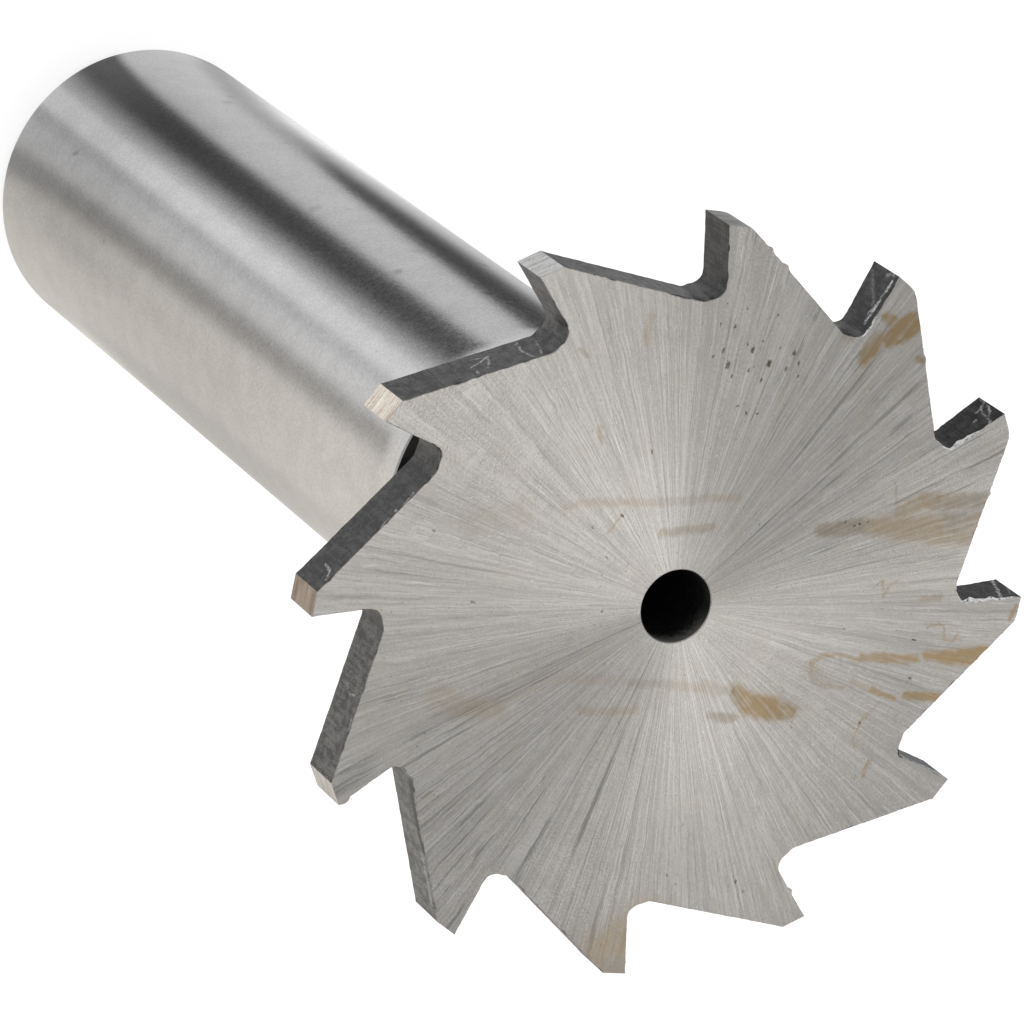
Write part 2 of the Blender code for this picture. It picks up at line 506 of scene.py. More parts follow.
def shank(builder, outline, rim):
    """The back face, neck, shank and shank end."""
    root = builder.circle(ROOT_RING, LENGTH - HEAD_WIDTH + hollow(ROOT_RING))
    face_polygons(builder, outline, rim, root, upward=False)
    upper = root
    height = 0.0
    for radius, height, material, sharp in shank_profile():
        lower = builder.circle(radius, height)
        builder.bridge(upper, lower, material)
        if sharp:
            builder.crease(lower)
        upper = lower
    tip = (0.0, 0.0, height + PILOT_RADIUS / math.tan(DRILL_POINT_ANGLE / 2))
    builder.cap(upper, tip, HOLE, upward=False)


def add_object(name, data):
    thing = bpy.data.objects.new(name, data)
    bpy.context.scene.collection.objects.link(thing)
    return thing


def make_cutter(materials):
    outline = Outline()
    builder = Builder()
    front_rim, back_rim = head_walls(builder, outline)
    front_face(builder, outline, front_rim)
    shank(builder, outline, back_rim)
    mesh = bpy.data.meshes.new("cutter")
    mesh.from_pydata(builder.points, [], builder.faces)
    for material in materials.values():
        mesh.materials.append(material)
    slots = {key: slot for slot, key in enumerate(materials)}
    mesh.polygons.foreach_set("material_index", [slots[key] for key in builder.materials])
    mesh.shade_smooth()
    for edge in mesh.edges:
        edge.use_edge_sharp = tuple(sorted(edge.vertices)) in builder.sharp
    shape = bmesh.new()
    shape.from_mesh(mesh)
    bmesh.ops.triangulate(shape, faces=[face for face in shape.faces if len(face.verts) > 4])
    shape.to_mesh(mesh)
    shape.free()
    return add_object("cutter", mesh)


class Tree:
    """Short calls for the nodes of a material or a world."""

    def __init__(self, owner, output_kind="ShaderNodeOutputMaterial"):
        owner.use_nodes = True
        self.tree = owner.node_tree
        self.tree.nodes.clear()
        self.output_kind = output_kind

    def node(self, kind, inputs=(), **settings):
        made = self.tree.nodes.new(kind)
        for name, value in settings.items():
            setattr(made, name, value)
        for name, value in dict(inputs).items():
            self.feed(made.inputs[name], value)
        return made

    def feed(self, socket, value):
        """Links a node's output to the socket, or sets the socket to a value."""
        if isinstance(value, bpy.types.NodeSocket):
            self.tree.links.new(value, socket)
        else:
            socket.default_value = value

    def math(self, operation, *values):
        return self.node("ShaderNodeMath", enumerate(values), operation=operation).outputs[0]

    def vector(self, operation, *values):
        made = self.node("ShaderNodeVectorMath", operation=operation)
        for i, value in enumerate(values):
            self.feed(made.inputs[i], value)
        gives_number = operation in ("DOT_PRODUCT", "LENGTH", "DISTANCE")
        return made.outputs["Value" if gives_number else "Vector"]

    def scaled(self, vector, factor):
        made = self.node("ShaderNodeVectorMath", {"Scale": factor}, operation="SCALE")
        self.feed(made.inputs[0], vector)
        return made.outputs[0]

    def noise(self, vector, detail=2.0, roughness=0.5, scale=1.0, distortion=0.0):
        inputs = {"Vector": vector, "Scale": scale, "Detail": detail, "Roughness": roughness,
                  "Distortion": distortion}
        return self.node("ShaderNodeTexNoise", inputs).outputs["Fac"]

    def wander(self, vector, scale, detail, amount):
        """Smooth noise for each direction, from minus to plus half of the amount."""
        made = self.node("ShaderNodeTexNoise", {"Vector": vector, "Scale": scale, "Detail": detail})
        half = tuple(-size / 2 for size in amount)
        return self.vector("MULTIPLY_ADD", made.outputs["Color"], amount, half)

    def step(self, value, start, end, low=0.0, high=1.0):
        """Goes smoothly from low to high as the value goes from start to end."""
        inputs = {"Value": value, "From Min": start, "From Max": end, "To Min": low, "To Max": high}
        return self.node("ShaderNodeMapRange", inputs, interpolation_type="SMOOTHSTEP").outputs[0]

    def mix(self, share, first, second):
        made = self.node("ShaderNodeMix", data_type="RGBA")
        self.feed(made.inputs[0], share)
        self.feed(made.inputs[6], first)
        self.feed(made.inputs[7], second)
        return made.outputs[2]

    def between(self, share, first, second):
        """A number that goes from first to second as the share goes from 0 to 1."""
        made = self.node("ShaderNodeMix", data_type="FLOAT")
        self.feed(made.inputs[0], share)
        self.feed(made.inputs[2], first)
        self.feed(made.inputs[3], second)
        return made.outputs[0]

    def combine(self, x, y, z):
        return self.node("ShaderNodeCombineXYZ", {"X": x, "Y": y, "Z": z}).outputs[0]

    def place(self):
        """The place on the cutter in millimetres."""
        made = self.node("ShaderNodeTexCoord")
        return self.scaled(made.outputs["Object"], 1 / MM)

    def parts(self, vector):
        return self.node("ShaderNodeSeparateXYZ", {"Vector": vector}).outputs

    def flat(self, vector):
        """The vector without its part along the axis."""
        return self.vector("MULTIPLY", vector, (1.0, 1.0, 0.0))

    def weighted(self, *terms):
        """The sum of several values, each times its weight."""
        total = 0.0
        for value, weight in terms:
            total = self.math("MULTIPLY_ADD", value, weight, total)
        return total

    def surface(self, shader):
        """Makes a shader's output the surface of this material or world."""
        output = self.node(self.output_kind)
        self.tree.links.new(shader.outputs[0], output.inputs["Surface"])

    def stroke(self, place, points, softness):
        """How much a soft stroke covers, from 0 to 1. Its points are (place, width)."""
        nearest = None
        for (start, start_width), (end, end_width) in zip(points, points[1:]):
            way = end - start
            from_start = self.vector("SUBTRACT", place, start)
            share = self.vector("DOT_PRODUCT", from_start, way / way.length_squared)
            share = self.math("MAXIMUM", self.math("MINIMUM", share, 1.0), 0.0)
            gap = self.vector("DISTANCE", from_start, self.scaled(way, share))
            radius = self.math("MULTIPLY_ADD", share, (end_width - start_width) / 2, start_width / 2)
            gap = self.math("SUBTRACT", gap, radius)
            nearest = gap if nearest is None else self.math("MINIMUM", nearest, gap)
        return self.step(nearest, 0.0, softness, 1.0, 0.0)

    def strokes(self, place, strokes):
        """The cover of several strokes. Each is (points, softness, strength)."""
        cover = 0.0
        for points, softness, strength in strokes:
            one = self.math("MULTIPLY", self.stroke(place, points, softness), strength)
            cover = self.math("MAXIMUM", one, cover)
        return cover


def colour(red, green, blue):
    return (red, green, blue, 1.0)


def grey(level):
    return colour(level, level, level)


BLACK = grey(0.0)
WHITE = grey(1.0)


def new_material(name):
    material = bpy.data.materials.new(name)
    return material, Tree(material)


def bump(tree, height, distance, normal=None):
    """A normal bent by a height from 0 to 1, where 1 stands for the distance."""
    inputs = {"Strength": 1.0, "Distance": distance, "Height": height}
    if normal is not None:
        inputs["Normal"] = normal
    return tree.node("ShaderNodeBump", inputs).outputs[0]


def ring_tangent(tree):
    """The direction round the axis."""
    return tree.node("ShaderNodeTangent", direction_type="RADIAL", axis="Z").outputs[0]


class Fan:
    """Noise drawn out along the radii, as grinding leaves it on a face. The lines waver a little."""

    def __init__(self, tree, place):
        self.tree = tree
        self.flat = tree.flat(place)
        self.radius = tree.vector("LENGTH", self.flat)
        self.height = tree.parts(place)[2]
        waver = tree.wander(place, 0.9, 2.0, (0.014, 0.014, 0.0))
        self.way = tree.vector("ADD", tree.vector("NORMALIZE", self.flat), waver)

    def lines(self, fineness, along, detail, roughness=0.55):
        """Fineness counts the waves round the axis, and along those in a millimetre of radius."""
        tree = self.tree
        ux, uy = tree.parts(tree.scaled(self.way, fineness / (2 * math.pi)))[:2]
        # The back face gets lines of its own.
        other = tree.math("MULTIPLY", self.height, 3.0)
        return tree.noise(tree.combine(ux, uy, tree.math("MULTIPLY_ADD", self.radius, along, other)),
                          detail=detail, roughness=roughness)


# Stains on the front face: points (x, y, width) in millimetres, softness and strength
STAINS = (
    (((-4.60, 12.50, 0.55), (-3.94, 11.44, 0.32), (-3.42, 10.30, 0.06)), 0.26, 0.95),
    (((-3.05, 9.93, 0.16), (-2.69, 9.25, 0.22), (-2.37, 8.52, 0.16), (-2.01, 7.95, 0.04)), 0.20, 0.80),
    (((-1.91, 7.90, 0.03), (-1.80, 7.38, 0.04), (-1.60, 6.85, 0.06), (-1.33, 6.44, 0.06), (-0.92, 6.28, 0.08),
      (-0.55, 6.50, 0.08), (-0.40, 6.96, 0.10), (-0.50, 7.38, 0.10), (-0.71, 8.00, 0.04)), 0.14, 0.55),
    (((-0.62, 7.20, 0.20), (-0.80, 6.50, 0.10)), 0.25, 0.25),
    (((-2.40, 11.90, 0.16), (-2.06, 11.18, 0.20), (-1.75, 10.55, 0.10)), 0.18, 1.00),
    (((-1.44, 10.19, 0.04), (-1.28, 9.20, 0.10)), 0.16, 0.75),
    (((-1.25, 9.00, 0.05), (-1.15, 8.20, 0.05)), 0.18, 0.30),
    (((-5.50, 9.35, 0.12), (-5.08, 8.73, 0.04)), 0.18, 0.45),
    (((-8.33, 8.85, 0.80), (-7.65, 7.70, 0.75), (-6.92, 6.46, 0.50), (-6.50, 5.42, 0.40)), 0.50, 0.60),
    (((-6.50, 5.42, 0.30), (-5.77, 4.27, 0.35), (-5.15, 3.33, 0.15)), 0.30, 0.65),
    (((-9.31, 8.50, 0.20), (-8.58, 7.30, 0.28), (-8.06, 6.36, 0.30), (-7.23, 5.73, 0.15)), 0.38, 0.65),
    (((-13.40, 1.74, 0.55), (-12.81, 1.44, 0.70), (-12.23, 1.18, 0.40)), 0.25, 0.95),
    (((-12.86, 0.70, 0.28), (-12.80, 0.45, 0.10)), 0.22, 1.00),
    (((-12.04, 0.75, 0.22), (-11.58, 0.71, 0.40), (-11.19, 0.72, 0.22)), 0.30, 0.85),
    (((-11.40, 0.95, 0.12), (-10.95, 0.85, 0.05)), 0.20, 0.40),
    (((-12.26, 2.83, 0.12), (-12.24, 2.70, 0.12)), 0.18, 0.85),
    (((-11.60, -0.30, 0.20), (-11.50, -0.42, 0.20)), 0.30, 0.35),
    (((1.00, 6.70, 0.20), (1.28, 5.92, 0.52), (1.58, 5.08, 0.50), (1.43, 4.15, 0.04)), 0.42, 0.90),
    (((1.15, 6.50, 0.10), (1.35, 5.90, 0.20), (1.45, 5.55, 0.10)), 0.30, 0.50),
    (((2.20, 4.88, 0.05), (2.52, 4.35, 0.20), (2.68, 3.83, 0.08)), 0.22, 0.55),
    (((1.80, 3.40, 0.25), (1.85, 2.90, 0.10)), 0.30, 0.28),
    (((1.60, 3.80, 0.08), (2.10, 2.70, 0.10), (2.60, 1.40, 0.10), (3.20, 0.20, 0.10)), 0.24, 0.30),
    (((3.20, 0.20, 0.08), (3.80, -1.20, 0.10), (4.50, -2.60, 0.10), (6.30, -3.90, 0.10)), 0.28, 0.20),
    (((3.90, 1.10, 0.08), (4.50, 0.10, 0.10), (5.00, -0.90, 0.08)), 0.22, 0.28),
    (((6.50, -3.90, 0.20), (7.10, -5.20, 0.35), (7.25, -6.30, 0.30)), 0.60, 0.30),
    (((-4.50, -0.40, 0.08), (-4.00, -1.30, 0.10), (-3.10, -2.60, 0.10), (-2.30, -4.00, 0.10),
      (-1.50, -5.50, 0.08), (-0.80, -6.30, 0.06)), 0.22, 0.32),
    (((-3.10, -0.60, 0.08), (-2.50, -1.50, 0.12), (-1.90, -2.30, 0.08)), 0.20, 0.48),
    (((0.20, -7.60, 0.50), (1.30, -9.00, 0.50)), 0.70, 0.18),
    (((10.60, 6.80, 0.80), (11.60, 6.50, 1.40), (12.90, 6.40, 1.80)), 1.40, 0.50),
    (((-4.77, 10.97, 0.02), (-4.35, 10.92, 0.03), (-4.30, 10.55, 0.03), (-4.62, 10.30, 0.03),
      (-4.67, 9.98, 0.03), (-4.30, 9.62, 0.03)), 0.08, 0.50),
    (((-5.08, 7.38, 0.02), (-4.83, 7.17, 0.03), (-4.35, 7.27, 0.02), (-4.85, 6.85, 0.02),
      (-4.45, 6.65, 0.02)), 0.07, 0.50),
    (((-1.02, 9.77, 0.02), (-0.60, 9.62, 0.04), (0.02, 9.51, 0.04), (0.54, 9.62, 0.03), (0.85, 9.93, 0.02)),
     0.10, 0.42),
    (((1.00, 10.87, 0.03), (1.38, 10.92, 0.08), (1.63, 11.02, 0.06)), 0.12, 0.65),
    (((-8.20, -7.70, 0.08), (-7.60, -7.50, 0.08), (-7.30, -7.20, 0.04)), 0.20, 0.42),
    (((-3.90, -6.90, 0.08), (-3.50, -6.50, 0.04)), 0.14, 0.45),
    (((-5.80, -9.40, 0.06), (-5.75, -9.00, 0.06)), 0.14, 0.40),
    (((-1.80, -4.10, 0.02), (-0.90, -4.14, 0.03)), 0.07, 0.45),
    (((-6.75, 12.42, 0.04), (-6.25, 12.50, 0.05)), 0.11, 0.75),
    (((-8.10, 4.85, 0.02), (-7.70, 5.20, 0.02), (-7.13, 5.87, 0.02)), 0.06, 0.35),
)

# Dark specks on the front face: x, y, radius in millimetres and strength
SPECKS = (
    (-8.56, -4.45, 0.09, 0.75), (-8.25, -3.94, 0.12, 0.75), (-9.18, -3.42, 0.10, 0.80),
    (-9.09, -2.53, 0.12, 0.88), (-8.51, -3.09, 0.07, 0.85), (-7.98, -3.55, 0.06, 0.90),
    (-8.43, -2.41, 0.07, 0.85), (-10.72, -3.35, 0.06, 0.85), (-9.30, -5.14, 0.05, 0.80),
    (-9.50, -4.59, 0.06, 0.75), (-9.70, -1.49, 0.07, 0.90), (-9.28, -1.81, 0.08, 0.55),
    (-9.92, -1.90, 0.09, 0.75), (-9.64, -3.28, 0.05, 0.80), (-9.26, -3.74, 0.05, 0.70),
    (-9.78, -2.52, 0.05, 0.60), (-9.29, -1.21, 0.05, 0.75), (-7.16, -2.14, 0.06, 0.80),
    (-7.21, -2.63, 0.05, 0.60), (-7.38, -1.75, 0.05, 0.80), (-8.19, -4.65, 0.05, 0.80),
    (-8.35, -4.05, 0.04, 0.80), (-8.70, -3.00, 0.05, 0.55), (-10.30, -4.60, 0.04, 0.70),
    (-10.05, -5.40, 0.04, 0.60), (-10.90, -1.60, 0.04, 0.60), (-6.60, -3.00, 0.04, 0.50),
    (-4.18, -4.55, 0.06, 0.80), (-3.65, 9.46, 0.06, 0.85), (-2.40, 10.27, 0.06, 0.90),
    (-2.59, 6.61, 0.04, 0.60), (-0.02, 9.54, 0.07, 0.60), (-1.72, -4.06, 0.08, 0.75),
    (-0.14, -3.62, 0.06, 0.60), (3.73, -7.23, 0.07, 0.70), (2.32, -10.21, 0.06, 0.70),
    (1.58, -2.53, 0.05, 0.60), (-0.77, -4.82, 0.06, 0.50), (8.49, 6.23, 0.06, 0.70),
    (7.39, 8.92, 0.07, 0.70), (6.87, 8.37, 0.04, 0.60), (7.55, 9.44, 0.05, 0.60), (-5.90, 4.03, 0.05, 0.85),
    (-5.95, 4.45, 0.05, 0.80), (-6.11, 4.58, 0.05, 0.80), (-6.33, 4.83, 0.05, 0.80),
    (1.30, 7.00, 0.05, 0.60), (-3.95, 7.49, 0.04, 0.60),
)

AMBER = colour(0.445, 0.330, 0.195)
OLIVE = colour(0.35, 0.300, 0.215)
SPECK_COLOUR = colour(0.085, 0.070, 0.036)
# A mark this near a tooth's sector of the front face is also in that sector's material
SECTOR_MARGIN = 1.2
# How much shorter the specks would be without the ground lines
SPECK_SQUEEZE = 0.45


def near_sector(x, y, sector):
    """Whether a place on the front face, in millimetres, lies in or near a tooth's sector."""
    apart = abs((math.atan2(y, x) - sector_middle(sector) + math.pi) % (2 * math.pi) - math.pi)
    return (apart - PITCH / 2) * math.hypot(x, y) < SECTOR_MARGIN


def stroke_near_sector(points, sector):
    for (x0, y0, start_width), (x1, y1, end_width) in zip(points, points[1:]):
        for share in (0.0, 0.25, 0.5, 0.75, 1.0):
            if near_sector(x0 + (x1 - x0) * share, y0 + (y1 - y0) * share, sector):
                return True
    return False


def wandered(tree, place, scale, amount):
    """The place, moved about a little so that marks get uneven edges."""
    return tree.vector("ADD", place, tree.wander(place, scale, 3.0, (amount, amount, amount)))


def stain_cover(tree, place, fan, sector):
    """How much of the front face is stained at each place. The ground lines break the stains up."""
    strokes = []
    for points, softness, strength in STAINS:
        if stroke_near_sector(points, sector):
            strokes.append(([(Vector((x, y, 0.0)), width) for x, y, width in points], softness, strength))
    if not strokes:
        return 0.0
    moved = tree.flat(wandered(tree, place, 3.2, 0.30))
    cover = tree.strokes(moved, strokes)
    mottle = tree.noise(place, detail=3.0, scale=3.0)
    broken = tree.weighted((fan.lines(420, 0.30, 3.0, 0.65), 0.7), (mottle, 0.3))
    return tree.math("MULTIPLY", cover, tree.step(broken, 0.36, 0.60, 0.60, 1.15))


def squeezed(x, y, sector):
    """A place on the front face, brought nearer to the axis along the middle of a tooth's sector."""
    way = polar(1.0, sector_middle(sector))
    share = (x * way.x + y * way.y) * SPECK_SQUEEZE
    return x - way.x * share, y - way.y * share


def speck_cover(tree, place, sector):
    """The specks, which are drawn out a little along the ground lines."""
    specks = [speck for speck in SPECKS if near_sector(speck[0], speck[1], sector)]
    if not specks:
        return 0.0
    way = direction(sector_middle(sector))
    flat = tree.flat(wandered(tree, place, 11.0, 0.22))
    share = tree.math("MULTIPLY", tree.vector("DOT_PRODUCT", flat, way), SPECK_SQUEEZE)
    narrowed = tree.vector("SUBTRACT", flat, tree.scaled(way, share))
    cover = 0.0
    for speck_x, speck_y, radius, strength in specks:
        near_x, near_y = squeezed(speck_x, speck_y, sector)
        gap = tree.vector("DISTANCE", narrowed, (near_x, near_y, 0.0))
        cover = tree.math("MAXIMUM", tree.step(gap, radius * 0.40, radius * 0.95, strength, 0.0), cover)
    return cover


STEEL_LIGHT = colour(0.675, 0.652, 0.620)
STEEL_MIDDLE = colour(0.535, 0.514, 0.487)
STEEL_DARK = colour(0.22, 0.215, 0.205)
STEEL_BRIGHT = colour(0.88, 0.87, 0.85)
STEEL_WARM = colour(0.60, 0.555, 0.475)
# The ground lines are real scratches; painted shade draws them darkest towards this angle and the opposite
# one, where the face lies in shade
SHADED_LINES_WAY = math.radians(165.0)
# Elsewhere painted shade darkens the face near its rim, where its highlights fall off
RIM_PAINTED_SHADE = 0.17
# Painted shade darkens the side of the front face towards this angle further, and its outer edge there most
PAINTED_SHADE_SIDE = math.radians(25.0)
SIDE_PAINTED_SHADE = 0.10
EDGE_PAINTED_SHADE = 0.13


def ground_face(name, sector=None):
    """A face of the head, ground with lines that fan out from the hole. The front's sectors have marks."""
    material, tree = new_material(name)
    place = tree.place()
    fan = Fan(tree, place)
    broad = fan.lines(120, 0.05, 2.0)
    middle = fan.lines(420, 0.16, 3.0, 0.65)
    narrow = fan.lines(1000, 0.36, 2.0, 0.6)
    grain = tree.noise(place, detail=2.0, roughness=0.6, scale=12.0)
    cloud = tree.noise(place, detail=3.0, scale=0.35)
    tone = tree.weighted((broad, 0.24), (middle, 0.28), (narrow, 0.26), (grain, 0.22))
    base = tree.mix(tree.step(tone, 0.43, 0.58), STEEL_MIDDLE, STEEL_LIGHT)
    warmth = tree.noise(place, detail=2.0, scale=0.9)
    base = tree.mix(tree.step(warmth, 0.48, 0.66, 0.0, 0.30), base, STEEL_WARM)
    dashes = tree.step(fan.lines(200, 0.32, 3.0), 0.42, 0.58, 0.20, 1.0)
    scored = tree.step(fan.lines(620, 0.12, 2.0), 0.55, 0.70, 0.0, 0.60)
    furrow = tree.step(fan.lines(240, 0.05, 1.0), 0.58, 0.72, 0.0, 0.62)
    # Painted shade: the dark scratch lines are drawn stronger in the two sectors of the face that lie in
    # shade
    shaded_sector = tree.vector("DOT_PRODUCT", tree.vector("NORMALIZE", fan.flat), direction(SHADED_LINES_WAY))
    shaded_sector = tree.math("ABSOLUTE", shaded_sector)
    scored = tree.math("MULTIPLY", tree.math("MAXIMUM", scored, furrow), dashes)
    base = tree.mix(tree.math("MULTIPLY", scored, tree.step(shaded_sector, 0.65, 0.92, 0.50, 1.0)), base, STEEL_DARK)
    gleam = tree.step(narrow, 0.56, 0.70, 0.0, 0.38)
    gleam = tree.math("MULTIPLY", gleam, tree.step(middle, 0.42, 0.58, 0.3, 1.0))
    base = tree.mix(gleam, base, STEEL_BRIGHT)
    pits = tree.noise(place, detail=1.0, scale=7.5)
    base = tree.mix(tree.step(pits, 0.72, 0.82, 0.0, 0.55), base, STEEL_BRIGHT)
    base = tree.mix(tree.step(pits, 0.28, 0.20, 0.0, 0.50), base, STEEL_DARK)
    if sector is None:
        stain = 0.0
    else:
        # Painted shade: the face is mixed towards black near its rim and on one side
        toward = tree.vector("DOT_PRODUCT", fan.flat, direction(PAINTED_SHADE_SIDE))
        rim = tree.math("MULTIPLY", tree.step(fan.radius, 2.5, 11.0, 0.0, RIM_PAINTED_SHADE),
                        tree.step(shaded_sector, 0.55, 0.95, 1.0, 0.0))
        painted_shade = tree.math("ADD", rim, tree.step(toward, 5.0, 11.0, 0.0, SIDE_PAINTED_SHADE))
        painted_shade = tree.math("ADD", painted_shade, tree.step(toward, 11.0, 13.5, 0.0, EDGE_PAINTED_SHADE))
        base = tree.mix(painted_shade, base, BLACK)
        stain = stain_cover(tree, place, fan, sector)
        base = tree.mix(stain, base, tree.mix(tree.step(cloud, 0.40, 0.55), OLIVE, AMBER))
        base = tree.mix(speck_cover(tree, place, sector), base, SPECK_COLOUR)
    # Heights of the lines in millimetres. They are deeper in some places than in others.
    height = tree.weighted((broad, 0.0200), (middle, 0.0122), (narrow, 0.0056))
    height = tree.math("MULTIPLY", height, tree.step(cloud, 0.35, 0.65, 0.70, 1.15))
    height = tree.math("MULTIPLY_ADD", grain, 0.0065, height)
    rough = tree.step(middle, 0.3, 0.7, 0.38, 0.45)
    if sector is not None:
        rough = tree.math("MULTIPLY_ADD", stain, 0.10, rough)
    tree.surface(tree.node("ShaderNodeBsdfPrincipled", {
        "Base Color": base, "Metallic": 1.0, "Roughness": rough, "Anisotropic": 0.85,
        "Tangent": ring_tangent(tree), "Normal": bump(tree, height, MM),
    }))
    return material


def wall_point(kind, tooth, along, depth):
    """A place on a wall in millimetres. Along counts from the wall's outer end, depth from the front."""
    if kind == "rake":
        outer = Vector((HEAD_RADIUS, 0.0))
        way = polar(-1.0, RAKE_ANGLE)
    else:
        drop = LAND_WIDTH * math.sin(LAND_RELIEF_ANGLE)
        outer = Vector((HEAD_RADIUS - drop, -LAND_WIDTH * math.cos(LAND_RELIEF_ANGLE)))
        arc_end = tooth_corners()[2]
        way = polar(1.0, arc_end + math.pi / 2 - PITCH)
    place = outer + way * along * MM
    place.rotate(Matrix.Rotation(PITCH * tooth, 2))
    return Vector((place.x / MM, place.y / MM, LENGTH / MM - depth))


# Bright marks on the walls: kind, tooth, points (along, depth, width) in millimetres, softness, strength
WALL_SCRATCHES = (
    ("back", 0, ((5.20, 0.08, 0.08), (4.30, 0.10, 0.12), (3.30, 0.08, 0.10)), 0.08, 0.45),
    ("back", 0, ((2.60, 0.40, 0.06), (1.60, 0.34, 0.08), (0.60, 0.28, 0.06)), 0.12, 0.40),
    ("back", 9, ((2.99, 0.92, 0.03), (3.56, 1.16, 0.04), (3.89, 1.42, 0.08)), 0.04, 0.75),
    ("back", 9, ((3.89, 1.42, 0.06), (3.80, 1.05, 0.04), (3.52, 0.49, 0.03)), 0.04, 0.55),
    ("back", 9, ((3.30, 1.56, 0.03), (3.73, 1.44, 0.04)), 0.04, 0.50),
    ("back", 9, ((3.07, 0.69, 0.04), (3.10, 0.50, 0.03), (3.04, 0.30, 0.05)), 0.04, 0.50),
    ("back", 9, ((5.19, 1.87, 0.04), (5.05, 1.13, 0.05), (5.07, 0.53, 0.04), (5.22, 0.16, 0.02)), 0.04, 0.60),
    ("back", 9, ((5.78, 1.40, 0.03), (5.66, 0.81, 0.03), (5.51, 0.26, 0.03)), 0.05, 0.40),
    ("back", 10, ((3.98, 0.16, 0.07), (3.96, 0.14, 0.07)), 0.04, 1.00),
    ("back", 10, ((0.93, 0.96, 0.03), (0.87, 0.45, 0.06), (0.54, 0.20, 0.03)), 0.05, 0.85),
    ("back", 10, ((4.80, 0.15, 0.05), (4.55, 0.10, 0.03), (4.32, 0.06, 0.05)), 0.06, 0.80),
    ("back", 10, ((3.60, 0.10, 0.04), (3.20, 0.08, 0.05)), 0.06, 0.45),
    ("back", 11, ((3.37, 1.26, 0.03), (3.10, 1.04, 0.03), (3.18, 0.50, 0.03)), 0.04, 0.55),
    ("back", 11, ((3.14, 0.22, 0.02), (3.05, 0.28, 0.02), (3.12, 0.36, 0.02), (3.20, 0.28, 0.02)),
     0.03, 0.55),
    ("back", 11, ((2.40, 0.15, 0.04), (2.05, 0.10, 0.05)), 0.05, 0.45),
    ("rake", 3, ((0.05, 0.25, 0.40), (0.60, 0.35, 0.60), (1.20, 0.25, 0.40), (1.90, 0.30, 0.50)), 0.20, 0.55),
    ("rake", 4, ((0.19, 1.90, 0.06), (0.36, 1.35, 0.05), (0.48, 0.97, 0.06), (0.67, 0.37, 0.09)), 0.06, 0.62),
    ("rake", 4, ((0.02, 1.03, 0.03), (0.21, 0.44, 0.03)), 0.05, 0.38),
    ("rake", 5, ((0.02, 1.80, 0.06), (0.07, 1.47, 0.03), (0.20, 1.38, 0.04), (0.37, 1.25, 0.06),
                 (0.60, 1.21, 0.03)), 0.06, 0.58),
    ("rake", 5, ((0.10, 1.22, 0.03), (0.23, 0.74, 0.05), (0.34, 0.62, 0.02), (0.49, 0.51, 0.06),
                 (0.61, 0.11, 0.08)), 0.06, 0.55),
    ("rake", 5, ((0.37, 1.25, 0.02), (0.50, 0.90, 0.03), (0.49, 0.51, 0.03)), 0.06, 0.35),
    ("rake", 5, ((0.85, 0.83, 0.06), (0.97, 0.80, 0.04)), 0.06, 0.50),
    ("rake", 6, ((0.30, 0.28, 0.05), (0.52, 0.33, 0.14), (0.78, 0.36, 0.04), (1.00, 0.42, 0.03)), 0.05, 1.00),
    ("rake", 6, ((1.05, 0.38, 0.05), (1.30, 0.45, 0.14), (1.60, 0.46, 0.08), (2.05, 0.54, 0.12)), 0.05, 1.00),
    ("rake", 6, ((1.45, 0.58, 0.03), (1.70, 0.62, 0.09), (1.85, 0.60, 0.03)), 0.05, 0.70),
    ("rake", 6, ((0.06, 0.32, 0.05), (0.02, 0.55, 0.08), (0.22, 0.78, 0.10)), 0.06, 0.45),
    ("rake", 6, ((0.35, 1.80, 0.03), (0.90, 1.10, 0.05), (1.30, 0.70, 0.03)), 0.12, 0.22),
)
# Dark marks on the tooth walls
WALL_SPOTS = (
    ("back", 9, ((5.24, 1.38, 0.10), (5.26, 1.34, 0.10)), 0.06, 0.90),
    ("back", 9, ((5.68, 1.47, 0.09), (5.66, 1.45, 0.09)), 0.06, 0.90),
    ("back", 9, ((5.56, 0.70, 0.08), (5.55, 0.68, 0.08)), 0.06, 0.90),
    ("back", 10, ((0.75, 1.30, 0.03), (0.80, 0.50, 0.05)), 0.08, 0.70),
    ("rake", 6, ((0.20, 0.14, 0.05), (2.00, 0.30, 0.06)), 0.06, 0.80),
    ("rake", 5, ((0.05, 0.30, 0.20), (0.30, 0.20, 0.10)), 0.10, 0.80),
    ("rake", 5, ((0.55, 0.16, 0.05), (1.05, 0.24, 0.07), (1.30, 0.30, 0.04)), 0.06, 0.90),
    ("back", 0, ((5.60, 0.25, 0.20), (4.60, 0.34, 0.24), (3.60, 0.26, 0.20), (2.80, 0.16, 0.10)), 0.18, 0.95),
)
# How much painted light each tooth's wall has, from its dark colours towards its pale ones, for the teeth
# drawn paler or darker than the rest by how their walls face the light
WALL_PAINTED_LIGHT = {11: 1.15, 0: 1.60, 8: 0.68, 9: 0.34, 3: -0.20, 4: -0.25, 5: -0.15, 10: 0.12, 6: 0.10}
WALL_PAINTED_LIGHT_ELSEWHERE = 0.15
# How strongly each tooth's wall shines, for the teeth that shine less than the rest
WALL_SHINE = {3: 0.08, 4: 0.11, 5: 0.20}
WALL_SHINE_ELSEWHERE = 0.5


def wall_strokes(marks, tooth):
    found = []
    for kind, marked_tooth, points, softness, strength in marks:
        if marked_tooth == tooth:
            placed = [(wall_point(kind, tooth, along, depth), width) for along, depth, width in points]
            found.append((placed, softness, strength))
    return found


WALL_BLACK = grey(0.010)
WALL_DARK = colour(0.045, 0.045, 0.046)
WALL_GREY = grey(0.072)
WALL_PALE = colour(0.190, 0.188, 0.182)


def blend(first, second, share):
    return tuple(a + (b - a) * share for a, b in zip(first, second))


